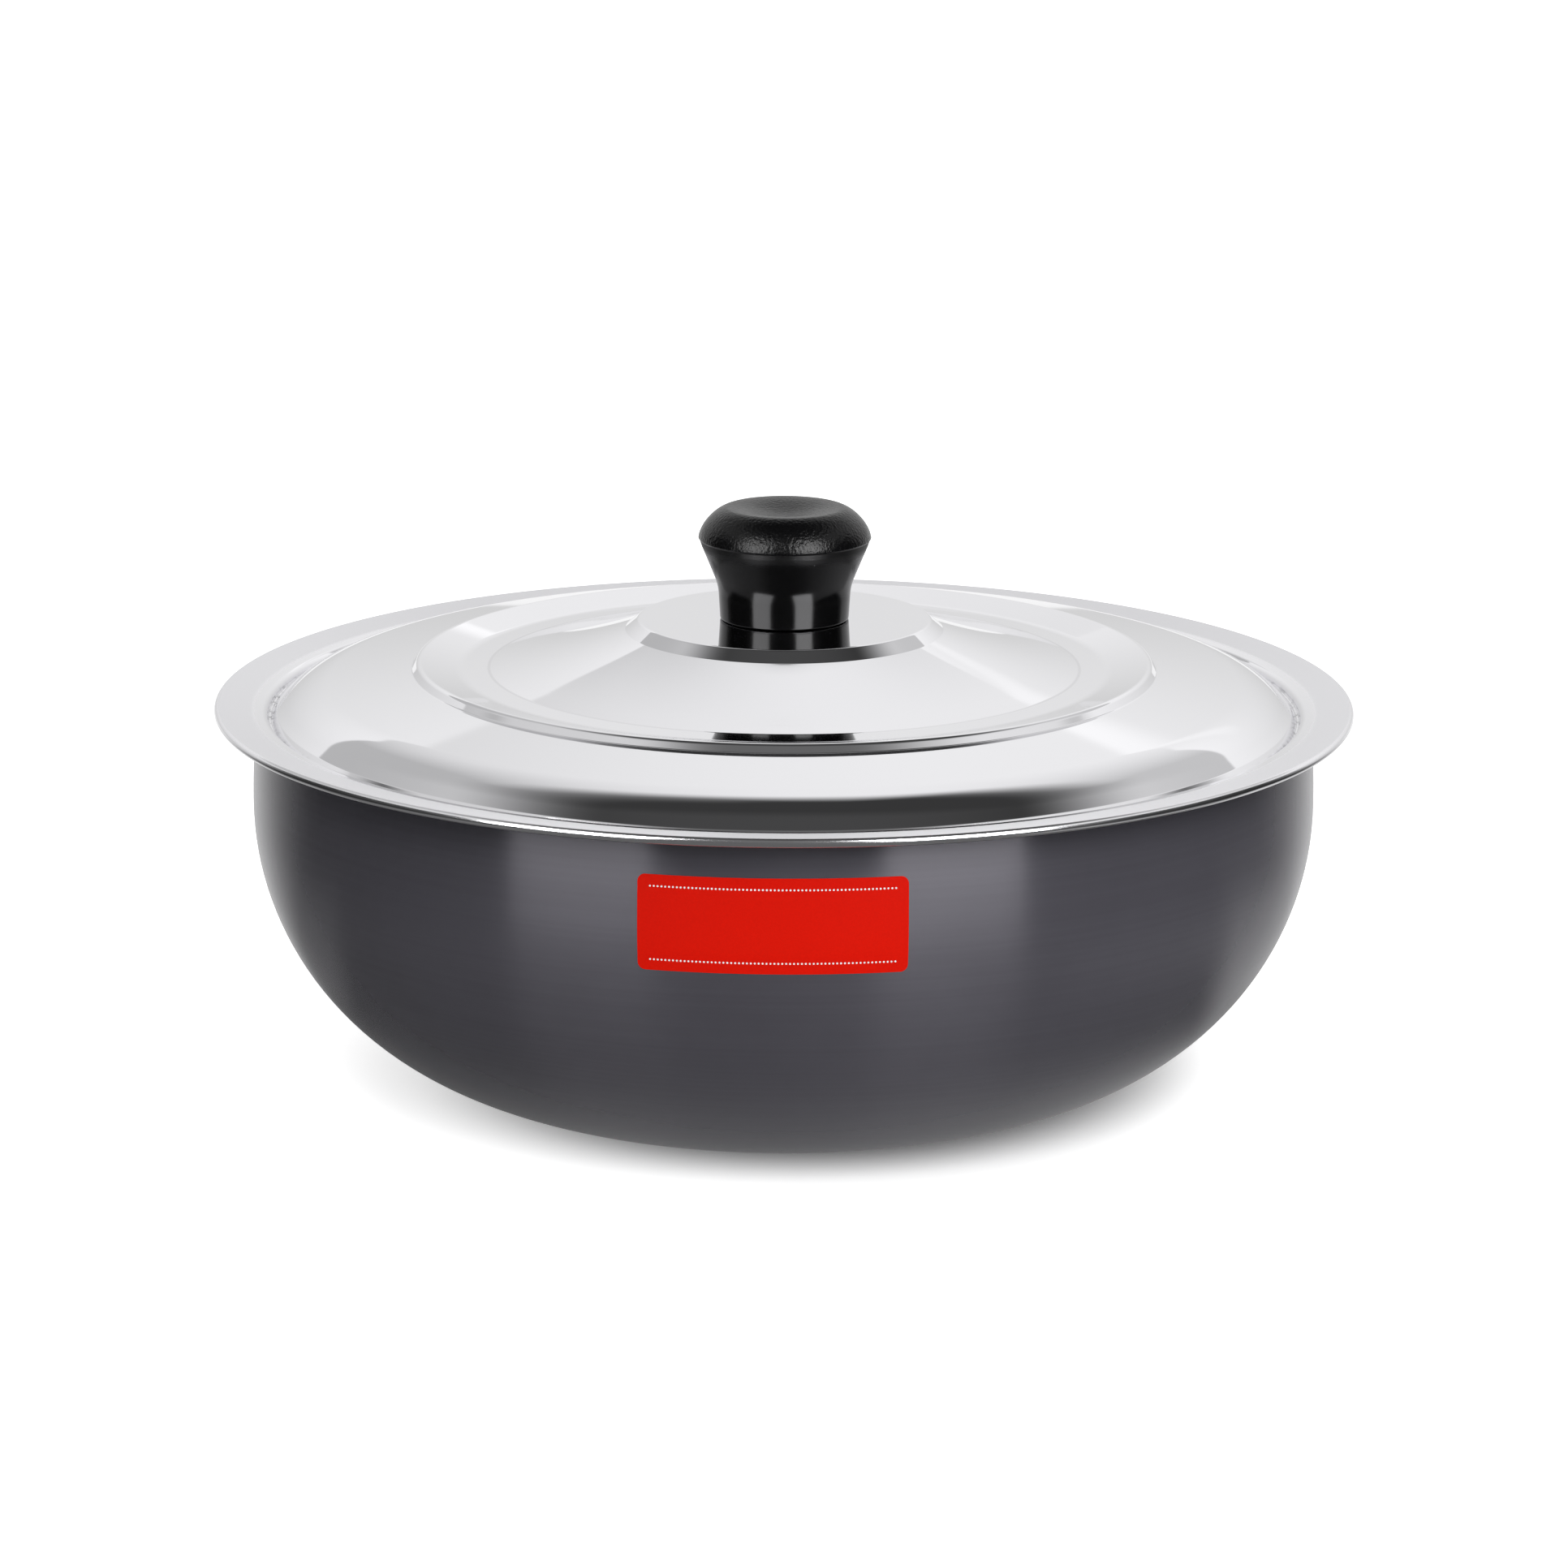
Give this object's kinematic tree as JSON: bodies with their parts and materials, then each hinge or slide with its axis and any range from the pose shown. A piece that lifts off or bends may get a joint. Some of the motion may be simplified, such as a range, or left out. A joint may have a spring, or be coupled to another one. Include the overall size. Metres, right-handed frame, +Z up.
{
  "type": "deep pan",
  "caption": "Round deep cooking pan without handles: flat base, large round corner, upright wall, and a loose stepped lid with a rolled edge and a moulded knob.",
  "frame": {"origin": "middle of the flat base, on the surface the pan stands on", "axes": "+Z up along the pan's axis, through the knob; the picture looks along +Y from slightly above"},
  "size_m": [0.258, 0.258, 0.1313],
  "materials": {
    "anodised_pan": "dark grey hard-anodised, satin",
    "polished_lid": "polished stainless steel with fine turning lines",
    "phenolic_knob": "black phenolic moulding, glossy stem, fine-grained cap",
    "brass_insert": "turned brass",
    "plated_fastener": "zinc-plated steel"
  },
  "bodies": {
    "pan": {"pan_body": "anodised_pan"},
    "lid": {"lid_shell": "polished_lid", "knob": "phenolic_knob", "knob_insert": "brass_insert", "knob_washer": "plated_fastener", "knob_screw": "plated_fastener"}
  },
  "joints": [
    {"name": "lid_lift", "type": "slide", "parent": "pan", "child": "lid", "axis": [0, 0, 1], "range_m": [0, 0.15]}
  ]
}
